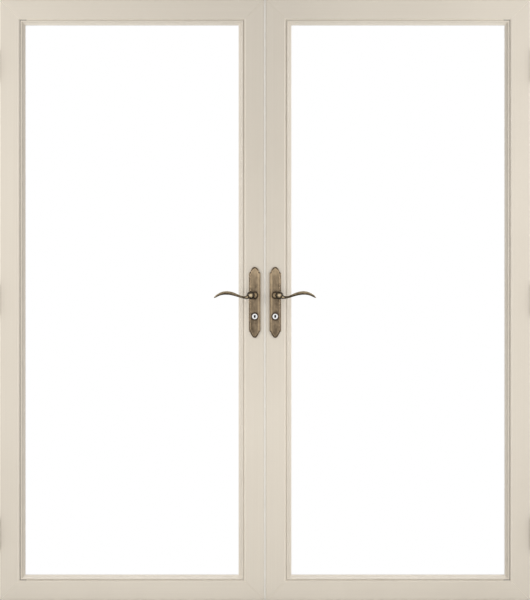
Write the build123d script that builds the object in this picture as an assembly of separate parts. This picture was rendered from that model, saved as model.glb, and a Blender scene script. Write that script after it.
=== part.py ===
from build123d import *
import os
from math import atan, cos, pi, radians, sin, sqrt, tan

# Leaves: a mirrored pair of full-glass doors that swing towards the viewer
leaf_width = 851.0
leaf_height = 1934.0
leaf_depth = 56.0
meeting_gap = 6.0
hinge_gap = 4.0
head_gap = 4.0
sill_gap = 3.0

# Leaf profile: a hollow three-chamber extrusion with mitred, welded corners
profile_wall = 2.8
face_width = 61.5
sight_width = 82.0
lock_room = 22.4
edge_round = 2.5
inner_round = 3.0
back_round = 1.2
back_step = 2.0
back_land = 10.0
flange_thickness = 12.0
flange_edge = 4.0
weld_groove_side = 1.1
hook_front = 5.0
hook_depth = 3.0
hook_reach = 2.5

# Snap-in glazing bead
bead_gap = 5.0
bead_top = 2.0
bead_land = 3.4
bead_quirk = 1.0
bead_edge = 15.0
bead_round = 1.5
bead_clearance = 0.4
bead_cove_share = 0.1

# Insulated glass unit
pane_thickness = 4.0
glass_cavity = 12.0
gasket_thickness = 3.0
gasket_width = 9.0
gasket_inset = 1.0
glass_edge_gap = 6.0
spacer_height = 6.5
spacer_inset = 4.0
block_length = 100.0
block_place_share = 0.22

# Outer frame: hollow jambs and head with a closing stop behind the leaves
jamb_face = 50.0
frame_depth = 116.0
frame_wall = 3.0
stop_height = 14.0
stop_clearance = 6.0
frame_round = 3.0
stop_round = 1.5
fixing_radius = 3.5
fixing_access_radius = 7.0
jamb_fixing_shares = (0.08, 0.35, 0.65, 0.92)
head_fixing_spacing = 900.0

# Sill: an aluminium extrusion between the jambs
sill_height = 28.0
sill_wall = 2.5
sill_nose_reach = 22.0
sill_nose_height = 12.0
sill_upstand_width = 12.0
sill_back_height = 32.0
sill_rib_radius = 1.2
sill_rib_place_shares = (0.3, 0.5, 0.7, 0.88)

# Seals
seal_inset = 5.0
seal_width = 8.0
seal_base = 1.5
seal_hole_radius = 1.4
seal_clearance = 0.3
meeting_seal_front = 4.0
meeting_seal_width = 9.0
meeting_seal_clearance = 2.5
meeting_seal_lift = 6.0
sweep_width = 24.0
sweep_base = 1.0
sweep_fin = 2.0
sweep_clearance = 0.4
sweep_short = 26.0

# Hinges: five-knuckle, with the barrel outside the leaf's outline
hinge_height = 100.0
hinge_knuckles = 5
hinge_place_shares = (0.11, 0.5, 0.89)
barrel_radius = 7.0
barrel_side_gap = 0.3
barrel_front_gap = 0.5
pin_radius = 3.0
pin_clearance = 0.05
pin_head_radius = 5.0
pin_head_height = 3.5
knuckle_gap = 0.3
flap_gap = 0.4
flap_reach = 40.0
flap_screw_radius = 2.2
flap_screw_head_radius = 3.7
# Across and along the flap
flap_screw_place_shares = ((0.35, 0.14), (0.74, 0.5), (0.35, 0.86))

# Handle plates
backset = 30.0
handle_height = 982.0
plate_width = 37.0
plate_thickness = 6.5
plate_bevel_width = 4.8
plate_bevel_depth = 3.0
plate_above = 71.0
plate_below = 115.0
crown_half = 14.2
crown_shoulder = 5.2
crown_rise = 14.4
crown_tip_half = 4.2
crown_tip_rise = 0.7
crown_bulge_share = 0.1
foot_half = 15.0
foot_shoulder = 3.6
foot_drop = 17.2
foot_tip_half = 4.6
foot_tip_drop = 0.9
foot_bulge_share = 0.06
screw_above = 59.0
screw_below = 107.0
screw_radius = 2.5
screw_head_radius = 4.6
screw_clearance = 0.2
screw_bite = 4.0

# Wave lever
lever_length = 118.0
lever_out = 46.0
ball_radius = 13.0
button_radius = 6.0
button_height = 1.8
button_round = 2.4
shank_lean = 12.7
shank_radius = 8.2
shank_start = 18.0
rose_radius = 10.8
rose_height = 2.4
rose_dome = 4.5
journal_radius = 7.5
journal_depth = 4.0
lever_lift_gap = 0.3
running_clearance = 0.05
spindle_side = 8.0
spindle_reach = 13.0
socket_clearance = 0.1
# Along the lever, rise, thickness and depth of each station as shares of the lever's length
lever_station_shares = (
    (0.05, -0.030, 0.115, 0.118),
    (0.17, -0.057, 0.072, 0.086),
    (0.31, -0.026, 0.064, 0.078),
    (0.48, 0.036, 0.088, 0.090),
    (0.64, 0.065, 0.098, 0.096),
    (0.79, 0.050, 0.084, 0.088),
    (0.91, -0.002, 0.060, 0.070),
    (0.98, -0.050, 0.036, 0.046),
    (1.00, -0.068, 0.014, 0.018),
)

# Lock case with a rack-and-pinion drive for two shoot bolts
case_wall = 1.5
case_depth = 18.0
case_above = 38.0
case_below = 92.0
case_clearance = 0.5
faceplate_above = 70.0
faceplate_below = 125.0
faceplate_depth = 20.0
faceplate_clearance = 0.2
faceplate_screw_inset = 9.0
faceplate_screw_radius = 2.0
faceplate_screw_head_radius = 3.8
gear_teeth = 16
gear_module = 2.0
gear_thickness = 10.0
gear_addendum = 1.6
gear_dedendum = 2.2
gear_backlash = 0.3
pressure_angle = 20.0
gear_hub_radius = 8.5
rack_teeth = 6
rod_thickness = 6.0
rod_slot_clearance = 0.4
bolt_radius = 4.0
bolt_length = 60.0
bolt_withdrawn = 1.0
bolt_clearance = 0.3
wall_hole_radius = 7.0

# Key cylinder, cam and thumb turn
cylinder_drop = 68.0
cylinder_radius = 11.0
collar_radius = 12.2
collar_height = 2.5
collar_round = 1.2
plug_radius = 9.3
plug_recess = 0.4
plug_edge = 0.6
plug_back = 18.4
keyway_width = 5.2
keyway_height = 9.0
keyway_depth = 22.0
keyway_round_radius = 3.4
tail_width = 8.0
tail_thickness = 3.0
tail_clearance = 0.1
cam_hub_radius = 7.0
cam_lobe_radius = 14.0
cam_lobe_width = 7.0
cam_thickness = 6.0
thumb_journal_radius = 9.0
thumb_shaft_radius = 4.4
thumb_length = 34.0
thumb_width = 11.0
thumb_out = 15.0
thumb_base = 2.0
# How far out, how wide and how long each station of the thumb turn is, as shares of its sizes
thumb_station_shares = ((0.0, 1.0, 0.5), (0.45, 0.7, 0.8), (0.85, 0.6, 1.0), (1.0, 0.35, 0.93))

# Keeps for the shoot bolts
head_keep_length = 60.0
sill_keep_length = 20.0
keep_width = 24.0
keep_thickness = 1.5
keep_hole_clearance = 0.8
keep_screw_radius = 1.6
keep_screw_head_radius = 2.7
keep_screw_inset = 3.8

cut_overrun = 5.0

# Places worked out from the sizes above
half_width = jamb_face + hinge_gap + leaf_width + meeting_gap / 2
rebate_half = half_width - jamb_face
total_height = sill_height + sill_gap + leaf_height + head_gap + jamb_face
front_y = -frame_depth / 2
middle_y = front_y + leaf_depth / 2
back_y = front_y + leaf_depth
stop_y = back_y + stop_clearance
leaf_outer_x = -(half_width - jamb_face - hinge_gap)
leaf_meeting_x = -meeting_gap / 2
leaf_bottom_z = sill_height + sill_gap
leaf_top_z = leaf_bottom_z + leaf_height
rebate_top_z = leaf_top_z + head_gap
handle_x = leaf_meeting_x - backset
handle_z = leaf_bottom_z + handle_height
key_z = handle_z - cylinder_drop
flange_front = leaf_depth - flange_thickness
back_pane_front = flange_front - gasket_thickness - pane_thickness
front_pane_front = back_pane_front - glass_cavity - pane_thickness
bead_back = front_pane_front - gasket_thickness
glass_edge = face_width + glass_edge_gap
pitch_radius = gear_module * gear_teeth / 2
rod_offset = pitch_radius + gear_dedendum + rod_thickness / 2
upper_rod_x = handle_x - rod_offset
lower_rod_x = handle_x + rod_offset
hinge_x = leaf_outer_x - barrel_radius - barrel_side_gap
hinge_y = front_y - barrel_radius - barrel_front_gap
flap_thickness = (hinge_gap - flap_gap) / 2


# Building blocks
def profile(points, rounds=()):
    face = make_face(Polyline(*points, close=True))
    for corner, radius in rounds:
        face = fillet(face.vertices().sort_by_distance((*corner, 0))[0], radius)
    return face


def field(u0, u1, v0, v1):
    return Pos((u0 + u1) / 2, (v0 + v1) / 2) * Rectangle(u1 - u0, v1 - v0)


def block(x0, x1, y0, y1, z0, z1):
    return Pos((x0 + x1) / 2, (y0 + y1) / 2, (z0 + z1) / 2) * Box(x1 - x0, y1 - y0, z1 - z0)


def rod_along_x(radius, x0, x1, y, z):
    place = Plane(origin=(x0, y, z), x_dir=(0, 1, 0), z_dir=(1, 0, 0))
    return place * extrude(Circle(radius), amount=x1 - x0)


def rod_along_y(radius, x, y0, y1, z):
    place = Plane(origin=(x, y0, z), x_dir=(1, 0, 0), z_dir=(0, 1, 0))
    return place * extrude(Circle(radius), amount=y1 - y0)


def rod_along_z(radius, x, y, z0, z1):
    return Pos(x, y, z0) * extrude(Circle(radius), amount=z1 - z0)


# A countersunk hole that opens on the face its origin lies in, and goes in along its way
def countersunk(origin, way, depth, radius, head_radius):
    place = Plane(origin=origin, z_dir=way)
    sink = head_radius - radius
    hole = Pos(0, 0, depth / 2) * Cylinder(radius, depth + 2 * cut_overrun)
    return place * (hole + Pos(0, 0, sink / 2) * Cone(head_radius, radius, sink))


def solids_of(*shapes):
    found = []
    for shape in shapes:
        found += shape.solids()
    return Compound(children=found)


# A straight member in its own frame: u from the outer edge inwards, v to the back, w along it
def member(face, length, reach, start_mitred=True, end_mitred=True):
    bar = extrude(face, amount=length)
    start = reach if start_mitred else 0
    end = reach if end_mitred else 0
    outline = Polyline((0, 0), (reach, start), (reach, length - end), (0, length), close=True)
    return bar & extrude(Plane.XZ * make_face(outline), amount=2 * frame_depth, both=True)


def side_places(x0, x1, z0, z1, y):
    return {
        "left": (Plane(origin=(x0, y, z0), x_dir=(1, 0, 0), z_dir=(0, 0, 1)), z1 - z0),
        "right": (Plane(origin=(x1, y, z1), x_dir=(-1, 0, 0), z_dir=(0, 0, -1)), z1 - z0),
        "top": (Plane(origin=(x0, y, z1), x_dir=(0, 0, -1), z_dir=(1, 0, 0)), x1 - x0),
        "bottom": (Plane(origin=(x1, y, z0), x_dir=(0, 0, 1), z_dir=(-1, 0, 0)), x1 - x0),
    }


# A shallow groove left where a welded mitre is cleaned off, on the front and the back face
def weld_grooves(length, reach, start_mitred=True, end_mitred=True, depth=leaf_depth):
    grooves = []
    for v in (0, depth):
        ends = []
        if start_mitred:
            ends.append((0, 1))
        if end_mitred:
            ends.append((length, -1))
        for w, turn in ends:
            line = Plane(origin=(0, v, w), x_dir=(1, 0, turn), z_dir=(0, 1, 0))
            bar = Box(2 * sqrt(2) * reach, weld_groove_side, weld_groove_side)
            grooves.append(line * Rot(45, 0, 0) * bar)
    return grooves


# Outer frame
def frame_section():
    stop_v = leaf_depth + stop_clearance
    stop_u = jamb_face + stop_height
    outline = profile(
        (
            (0, 0),
            (jamb_face, 0),
            (jamb_face, stop_v),
            (stop_u, stop_v),
            (stop_u, frame_depth),
            (0, frame_depth),
        ),
        (
            ((jamb_face, 0), frame_round),
            ((stop_u, stop_v), stop_round),
            ((stop_u, frame_depth), frame_round),
        ),
    )
    front_chamber = field(frame_wall, jamb_face - frame_wall, frame_wall, stop_v)
    back_chamber = field(frame_wall, stop_u - frame_wall, stop_v + frame_wall, frame_depth - frame_wall)
    return outline - front_chamber - back_chamber


def build_frame():
    section = frame_section()
    reach = jamb_face + stop_height
    places = side_places(-half_width, half_width, 0, total_height, front_y)
    sides = {}
    for side, start, end in (("left", False, True), ("right", True, False), ("top", True, True)):
        place, length = places[side]
        bar = member(section, length, reach, start, end)
        bar -= weld_grooves(length, reach, start, end, frame_depth)
        sides[side] = place * bar
    for share in jamb_fixing_shares:
        z = share * total_height
        for side, sign in (("left", -1), ("right", 1)):
            outer_x = sign * half_width
            inner_x = sign * rebate_half
            mid_x = (outer_x + inner_x) / 2
            outer = sorted((outer_x + sign * cut_overrun, mid_x))
            inner = sorted((mid_x, inner_x - sign * cut_overrun))
            sides[side] -= rod_along_x(fixing_radius, *outer, middle_y, z)
            sides[side] -= rod_along_x(fixing_access_radius, *inner, middle_y, z)
    for x in (-head_fixing_spacing / 2, head_fixing_spacing / 2):
        mid_z = total_height - jamb_face / 2
        sides["top"] -= rod_along_z(fixing_radius, x, middle_y, mid_z, total_height + cut_overrun)
        sides["top"] -= rod_along_z(fixing_access_radius, x, middle_y, rebate_top_z - cut_overrun, mid_z)
    return {"left_jamb": sides["left"], "right_jamb": sides["right"], "head": sides["top"]}


def build_sill():
    nose_y = front_y - sill_nose_reach
    upstand_z = leaf_bottom_z + stop_height
    last_y = -front_y
    outline = profile(
        (
            (nose_y, 0),
            (nose_y, sill_nose_height),
            (front_y, sill_height),
            (stop_y, sill_height),
            (stop_y, upstand_z),
            (stop_y + sill_upstand_width, upstand_z),
            (last_y, sill_back_height),
            (last_y, 0),
        ),
        (
            ((nose_y, sill_nose_height), frame_round),
            ((stop_y, upstand_z), stop_round),
            ((stop_y + sill_upstand_width, upstand_z), stop_round),
        ),
    )
    hollow = offset(outline, -sill_wall)
    ribs = []
    for share in sill_rib_place_shares:
        rib_y = nose_y + share * (front_y - nose_y)
        rib_z = sill_nose_height + share * (sill_height - sill_nose_height)
        ribs.append(Pos(rib_y, rib_z) * Circle(sill_rib_radius))
    webs = [field(y, y + sill_wall, 0, upstand_z) for y in (front_y, stop_y)]
    section = Plane.YZ * (outline + ribs - (hollow - webs))
    sill = extrude(section, amount=rebate_half, both=True)
    for sign in (-1, 1):
        ends = sorted((sign * (rebate_half - stop_height), sign * (rebate_half + cut_overrun)))
        sill -= block(*ends, stop_y, last_y + cut_overrun, -cut_overrun, total_height)
    return sill


# A hollow bulb seal that stands on the stop and meets the back of the leaves
def seal_section():
    stop_v = leaf_depth + stop_clearance
    crest_v = leaf_depth + seal_clearance
    u0 = seal_inset
    u1 = seal_inset + seal_width
    base_v = stop_v - seal_base
    middle_u = (u0 + u1) / 2
    lines = [
        Polyline((u0, base_v), (u0, stop_v), (u1, stop_v), (u1, base_v)),
        ThreePointArc((u1, base_v), (middle_u, crest_v), (u0, base_v)),
    ]
    hole = Pos(middle_u, (crest_v + base_v) / 2) * Circle(seal_hole_radius)
    return make_face(lines) - hole


def build_frame_seals():
    section = seal_section()
    places = side_places(-rebate_half, rebate_half, sill_height, rebate_top_z, front_y)
    sides = [place * member(section, length, seal_inset + seal_width) for place, length in places.values()]
    return solids_of(*sides)


# Leaf
def leaf_section():
    hook_back = hook_front + hook_depth
    land_v = leaf_depth - back_step
    outline = profile(
        (
            (0, 0),
            (face_width, 0),
            (face_width, hook_front),
            (face_width + hook_reach, hook_front),
            (face_width + hook_reach, hook_back),
            (face_width, hook_back),
            (face_width, flange_front),
            (sight_width, flange_front),
            (sight_width, flange_front + flange_edge),
            (face_width + back_land, land_v),
            (face_width, land_v),
            (face_width, leaf_depth),
            (0, leaf_depth),
        ),
        (
            ((0, 0), edge_round),
            ((face_width, 0), inner_round),
            ((sight_width, flange_front + flange_edge), back_round),
            ((face_width + back_land, land_v), back_round),
            ((face_width, leaf_depth), back_round),
            ((0, leaf_depth), edge_round),
        ),
    )
    u0 = profile_wall
    u1 = face_width - profile_wall
    land_u = face_width + back_land - profile_wall
    room_front = (leaf_depth - lock_room) / 2
    room_back = (leaf_depth + lock_room) / 2
    chambers = [
        field(u0, u1, profile_wall, room_front - profile_wall),
        field(u0, u1, room_front, room_back),
        field(u0, u1, room_back + profile_wall, leaf_depth - profile_wall),
        field(face_width, land_u, flange_front + profile_wall, land_v - profile_wall),
    ]
    return outline - chambers


def bead_section():
    outer_u = face_width + bead_gap
    foot_u = face_width + bead_clearance
    foot_v = hook_front + hook_depth + bead_clearance
    cove_u = outer_u + bead_land + bead_quirk
    cove_v = bead_top + bead_quirk
    run_u = sight_width - cove_u
    run_v = bead_edge - cove_v
    middle = (cove_u + run_u / 2 - bead_cove_share * run_v, cove_v + run_v / 2 + bead_cove_share * run_u)
    lines = [
        Polyline(
            (sight_width, bead_edge),
            (sight_width, bead_back),
            (foot_u, bead_back),
            (foot_u, foot_v),
            (outer_u, foot_v),
            (outer_u, bead_top),
            (outer_u + bead_land, bead_top),
            (cove_u, cove_v),
        ),
        ThreePointArc((cove_u, cove_v), middle, (sight_width, bead_edge)),
    ]
    face = make_face(lines)
    return fillet(face.vertices().sort_by_distance((outer_u, bead_top, 0))[0], bead_round)


# A flat rectangular ring that follows the leaf's outline, between two distances from its edge
def leaf_ring(u0, u1, v0, v1):
    outer = block(
        leaf_outer_x + u0,
        leaf_meeting_x - u0,
        front_y + v0,
        front_y + v1,
        leaf_bottom_z + u0,
        leaf_top_z - u0,
    )
    inner = block(
        leaf_outer_x + u1,
        leaf_meeting_x - u1,
        front_y + v0 - cut_overrun,
        front_y + v1 + cut_overrun,
        leaf_bottom_z + u1,
        leaf_top_z - u1,
    )
    return outer - inner


def pane(v):
    y = front_y + v
    return block(
        leaf_outer_x + glass_edge,
        leaf_meeting_x - glass_edge,
        y,
        y + pane_thickness,
        leaf_bottom_z + glass_edge,
        leaf_top_z - glass_edge,
    )


def build_leaf_members():
    section = leaf_section()
    places = side_places(leaf_outer_x, leaf_meeting_x, leaf_bottom_z, leaf_top_z, front_y)
    names = {"left": "hinge_stile", "right": "meeting_stile", "top": "top_rail", "bottom": "bottom_rail"}
    members = {}
    for side, name in names.items():
        place, length = places[side]
        bar = member(section, length, sight_width) - weld_grooves(length, sight_width)
        members[name] = place * bar
    through = (front_y - cut_overrun, back_y + cut_overrun)
    stile = members["meeting_stile"]
    stile -= rod_along_y(wall_hole_radius, handle_x, *through, handle_z)
    stile -= rod_along_y(cylinder_radius + bolt_clearance, handle_x, front_y - cut_overrun, middle_y, key_z)
    stile -= rod_along_y(wall_hole_radius, handle_x, middle_y, back_y + cut_overrun, key_z)
    for z in screw_heights():
        stile -= rod_along_y(screw_radius + screw_clearance, handle_x, *through, z)
    stile -= block(
        leaf_meeting_x - profile_wall - cut_overrun / 2,
        leaf_meeting_x + cut_overrun,
        middle_y - faceplate_depth / 2 - faceplate_clearance,
        middle_y + faceplate_depth / 2 + faceplate_clearance,
        handle_z - faceplate_below - faceplate_clearance,
        handle_z + faceplate_above + faceplate_clearance,
    )
    members["meeting_stile"] = stile
    hole = bolt_radius + bolt_clearance
    wall_top = (leaf_top_z - profile_wall - cut_overrun / 2, leaf_top_z + cut_overrun)
    wall_bottom = (leaf_bottom_z - cut_overrun, leaf_bottom_z + profile_wall + cut_overrun / 2)
    members["top_rail"] -= rod_along_z(hole, upper_rod_x, middle_y, *wall_top)
    members["bottom_rail"] -= rod_along_z(hole, lower_rod_x, middle_y, *wall_bottom)
    return members


def build_glazing():
    section = bead_section()
    places = side_places(leaf_outer_x, leaf_meeting_x, leaf_bottom_z, leaf_top_z, front_y)
    beads = [place * member(section, length, sight_width) for place, length in places.values()]
    gasket_u1 = sight_width - gasket_inset
    gasket_u0 = gasket_u1 - gasket_width
    gaskets = [
        leaf_ring(gasket_u0, gasket_u1, v, v + gasket_thickness)
        for v in (bead_back, flange_front - gasket_thickness)
    ]
    spacer_u = glass_edge + spacer_inset
    cavity_front = front_pane_front + pane_thickness
    blocks = []
    for share in (block_place_share, 1 - block_place_share):
        x = leaf_outer_x + share * leaf_width
        z = leaf_bottom_z + face_width
        blocks.append(
            block(
                x - block_length / 2,
                x + block_length / 2,
                front_y + front_pane_front,
                front_y + flange_front - gasket_thickness,
                z,
                z + glass_edge_gap,
            )
        )
    return {
        "glazing_beads": solids_of(*beads),
        "glazing_gaskets": solids_of(*gaskets),
        "front_pane": pane(front_pane_front),
        "back_pane": pane(back_pane_front),
        "spacer": leaf_ring(spacer_u, spacer_u + spacer_height, cavity_front, back_pane_front),
        "setting_blocks": solids_of(*blocks),
    }


# A bottom sweep with two fins, kept clear of the lower bolt
def build_sweep():
    y0 = middle_y - sweep_width / 2
    y1 = middle_y + sweep_width / 2
    x0 = leaf_outer_x
    x1 = leaf_meeting_x - sweep_short
    fin_z = leaf_bottom_z - sill_gap + sweep_clearance
    sweep = block(x0, x1, y0, y1, leaf_bottom_z - sweep_base, leaf_bottom_z)
    for y in (y0, y1 - sweep_fin):
        sweep += block(x0, x1, y, y + sweep_fin, fin_z, leaf_bottom_z - sweep_base)
    return sweep


# A bulb seal on the right-hand leaf that closes the meeting gap
def build_meeting_seal():
    edge_x = -leaf_meeting_x
    y0 = front_y + meeting_seal_front
    y1 = y0 + meeting_seal_width
    base_x = edge_x - seal_base
    crest_x = leaf_meeting_x + meeting_seal_clearance
    lines = [
        Polyline((base_x, y0), (edge_x, y0), (edge_x, y1), (base_x, y1)),
        ThreePointArc((base_x, y1), (crest_x, (y0 + y1) / 2), (base_x, y0)),
    ]
    length = leaf_height - 2 * meeting_seal_lift
    return Pos(0, 0, leaf_bottom_z + meeting_seal_lift) * extrude(make_face(lines), amount=length)


# Hinges
def hinge_places():
    return [leaf_bottom_z + share * leaf_height for share in hinge_place_shares]


def hinge_flap(middle_z, x0, x1, first_knuckle, open_x):
    pitch = hinge_height / hinge_knuckles
    low_z = middle_z - hinge_height / 2
    flap = block(x0, x1, front_y, front_y + flap_reach, low_z, low_z + hinge_height)
    for index in range(first_knuckle, hinge_knuckles, 2):
        z0 = low_z + index * pitch + knuckle_gap / 2
        z1 = low_z + (index + 1) * pitch - knuckle_gap / 2
        flap += rod_along_z(barrel_radius, hinge_x, hinge_y, z0, z1)
        flap += block(x0, x1, hinge_y, front_y, z0, z1)
    way = (1 if open_x == x0 else -1, 0, 0)
    for across, along in flap_screw_place_shares:
        spot = (open_x, front_y + across * flap_reach, low_z + along * hinge_height)
        flap -= countersunk(spot, way, flap_thickness, flap_screw_radius, flap_screw_head_radius)
    bore = (pin_radius + pin_clearance, hinge_x, hinge_y)
    return flap - rod_along_z(*bore, low_z - cut_overrun, low_z + hinge_height + cut_overrun)


def hinge_pin(middle_z):
    low_z = middle_z - hinge_height / 2
    high_z = middle_z + hinge_height / 2
    pin = rod_along_z(pin_radius, hinge_x, hinge_y, low_z, high_z)
    pin += rod_along_z(pin_head_radius, hinge_x, hinge_y, high_z, high_z + pin_head_height)
    pin += rod_along_z(pin_head_radius, hinge_x, hinge_y, low_z - pin_head_height, low_z)
    rims = pin.edges().filter_by(GeomType.CIRCLE).group_by(Axis.Z)
    return fillet(rims[0] + rims[-1], pin_head_height / 2)


def build_hinges():
    rebate_x = -rebate_half
    frame_x = rebate_x + flap_thickness
    leaf_x = leaf_outer_x - flap_thickness
    frame_flaps = [hinge_flap(z, rebate_x, frame_x, 0, frame_x) for z in hinge_places()]
    leaf_flaps = [hinge_flap(z, leaf_x, leaf_outer_x, 1, leaf_x) for z in hinge_places()]
    pins = [hinge_pin(z) for z in hinge_places()]
    return frame_flaps, leaf_flaps, pins


# Handle plates. In the handle's frame x is to the right, y up and z out from the leaf
front_place = Plane(origin=(handle_x, front_y, handle_z), x_dir=(1, 0, 0), z_dir=(0, -1, 0))
leaf_mirror = Plane(origin=(0, middle_y, 0), z_dir=(0, 1, 0))


def to_back(shape):
    return mirror(front_place * shape, about=leaf_mirror)


def screw_heights():
    return (handle_z + screw_above, handle_z - screw_below)


# One pointed end of the plate, from its right-hand shoulder over the tip to the left-hand one
def plate_end(start_y, way, half, shoulder, rise, tip_half, tip_rise, bulge_share):
    side = plate_width / 2
    low_y = start_y + way * shoulder
    high_y = low_y + way * rise
    bulge_x = (half + tip_half) / 2 + bulge_share * rise
    bulge_y = (low_y + high_y) / 2 + way * bulge_share * (half - tip_half)
    return [
        Line((side, start_y), (half, low_y)),
        ThreePointArc((half, low_y), (bulge_x, bulge_y), (tip_half, high_y)),
        ThreePointArc((tip_half, high_y), (0, high_y + way * tip_rise), (-tip_half, high_y)),
        ThreePointArc((-tip_half, high_y), (-bulge_x, bulge_y), (-half, low_y)),
        Line((-half, low_y), (-side, start_y)),
    ]


def plate_outline():
    side = plate_width / 2
    crown = (crown_half, crown_shoulder, crown_rise, crown_tip_half, crown_tip_rise, crown_bulge_share)
    foot = (foot_half, foot_shoulder, foot_drop, foot_tip_half, foot_tip_drop, foot_bulge_share)
    lines = [Line((side, -plate_below), (side, plate_above)), Line((-side, plate_above), (-side, -plate_below))]
    lines += plate_end(plate_above, 1, *crown)
    lines += plate_end(-plate_below, -1, *foot)
    return make_face(lines)


def plate_blank():
    blank = extrude(plate_outline(), amount=plate_thickness)
    front = blank.faces().sort_by(Axis.Z)[-1]
    return chamfer(front.edges(), plate_bevel_width, plate_bevel_depth, reference=front)


def plate_hole(radius, y, z0, z1):
    return Pos(0, y, z0) * extrude(Circle(radius), amount=z1 - z0)


def build_plates():
    through = (-cut_overrun, plate_thickness + cut_overrun)
    journal_hole = journal_radius + running_clearance
    blank = plate_blank()
    front = blank - plate_hole(journal_hole, 0, *through)
    front -= plate_hole(cylinder_radius + running_clearance, -cylinder_drop, *through)
    back = blank - plate_hole(journal_hole, 0, *through)
    back -= plate_hole(thumb_journal_radius + running_clearance, -cylinder_drop, *through)
    screws = []
    head_height = screw_head_radius - screw_radius
    far_end = leaf_depth + plate_thickness + screw_bite
    for y in (screw_above, -screw_below):
        front -= plate_hole(screw_radius + running_clearance, y, -cut_overrun, screw_bite)
        back -= plate_hole(screw_radius + screw_clearance, y, *through)
        sink = Cone(screw_radius, screw_head_radius, head_height)
        back -= Pos(0, y, plate_thickness - head_height / 2) * sink
        shank = plate_hole(screw_radius, y, plate_thickness - far_end, plate_thickness)
        screws.append(shank + Pos(0, y, plate_thickness - head_height / 2) * sink)
    return {
        "front_plate": front_place * front,
        "back_plate": to_back(back),
        "plate_screws": solids_of(*[to_back(screw) for screw in screws]),
    }


# Lever: a turned rose, a leaning shank, a ball and a wave-shaped grip lofted through ellipses
def lever_rose():
    low = plate_thickness - journal_depth
    seat = plate_thickness + lever_lift_gap
    rim = seat + rose_height
    crest = rim + rose_dome
    lines = [
        Polyline(
            (0, shank_start),
            (0, low),
            (journal_radius, low),
            (journal_radius, seat),
            (rose_radius, seat),
            (rose_radius, rim),
        ),
        RadiusArc((rose_radius, rim), (shank_radius, crest), -rose_dome * 2),
        Polyline((shank_radius, crest), (shank_radius, shank_start), (0, shank_start)),
    ]
    return revolve(Plane.XZ * make_face(lines), Axis.Z)


def lever_shank():
    rise = lever_out - shank_start
    stations = ((0, shank_start, 0), (shank_lean / 3, shank_start + rise / 2, 1), (shank_lean, lever_out, 1))
    circles = []
    for lean, out, tilted in stations:
        way = (-tilted * shank_lean, 0, rise)
        circles.append(Plane(origin=(-lean, 0, out), x_dir=(0, 1, 0), z_dir=way) * Circle(shank_radius))
    return loft(circles)


def lever_grip():
    points = [
        Vector(-shank_lean - along * lever_length, rise * lever_length, lever_out)
        for along, rise, thick, deep in lever_station_shares
    ]
    last = len(points) - 1
    sections = []
    for index, point in enumerate(points):
        way = points[min(index + 1, last)] - points[max(index - 1, 0)]
        thick, deep = lever_station_shares[index][2:]
        across = Plane(origin=point, x_dir=(0, 0, 1), z_dir=way)
        sections.append(across * Ellipse(deep * lever_length / 2, thick * lever_length / 2))
    return loft(sections)


def build_lever():
    ball = Pos(-shank_lean, 0, lever_out) * Sphere(ball_radius)
    button = plate_hole(button_radius, 0, lever_out, lever_out + ball_radius + button_height)
    button = fillet(button.edges().filter_by(GeomType.CIRCLE).sort_by(Axis.Z)[-1], button_round)
    lever = lever_rose() + lever_shank() + ball + Pos(-shank_lean, 0, 0) * button + lever_grip()
    socket = spindle_side + 2 * socket_clearance
    depth = plate_thickness + spindle_reach + socket_clearance
    return front_place * (lever - Box(socket, socket, 2 * depth))


def build_spindle():
    half = spindle_side / 2
    y0 = front_y - plate_thickness - spindle_reach
    y1 = back_y + plate_thickness + spindle_reach
    return block(handle_x - half, handle_x + half, y0, y1, handle_z - half, handle_z + half)


# Rack and pinion
def flank_angle(radius):
    base = pitch_radius * cos(radians(pressure_angle))
    half_tooth = (pi * gear_module / 2 - gear_backlash / 2) / (2 * pitch_radius)
    at_pitch = tan(radians(pressure_angle)) - radians(pressure_angle)
    roll = sqrt(max(radius / base, 1) ** 2 - 1)
    return half_tooth + at_pitch - (roll - atan(roll))


def gear_section():
    base = pitch_radius * cos(radians(pressure_angle))
    root = pitch_radius - gear_dedendum
    tip = pitch_radius + gear_addendum
    radii = (root - gear_addendum, base, (base + tip) / 2, tip)
    upper = [(r * cos(flank_angle(r)), r * sin(flank_angle(r))) for r in radii]
    lower = [(x, -y) for x, y in reversed(upper)]
    tooth = make_face(Polyline(*upper, *lower, close=True))
    teeth = [Rot(0, 0, 360 * index / gear_teeth) * tooth for index in range(gear_teeth)]
    return Circle(root) + teeth


def rack_bar(side, first_tooth, low_z, high_z):
    y0 = middle_y - gear_thickness / 2
    y1 = middle_y + gear_thickness / 2
    root_x = handle_x + side * (pitch_radius + gear_dedendum)
    tip_x = handle_x + side * (pitch_radius - gear_addendum)
    far_x = root_x + side * rod_thickness
    bar = block(*sorted((root_x, far_x)), y0, y1, low_z, high_z)
    half_pitch = (pi * gear_module - gear_backlash) / 4
    lean = tan(radians(pressure_angle))
    half_root = half_pitch + gear_dedendum * lean
    half_tip = half_pitch - gear_addendum * lean
    place = Plane(origin=(0, y0, 0), x_dir=(1, 0, 0), z_dir=(0, -1, 0))
    for index in range(first_tooth, first_tooth + rack_teeth):
        z = handle_z + (index + 0.5) * pi * gear_module
        points = [(root_x, z - half_root), (root_x, z + half_root)]
        points += [(tip_x, z + half_tip), (tip_x, z - half_tip)]
        bar += extrude(place * make_face(Polyline(*points, close=True)), amount=-gear_thickness)
    return bar


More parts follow.
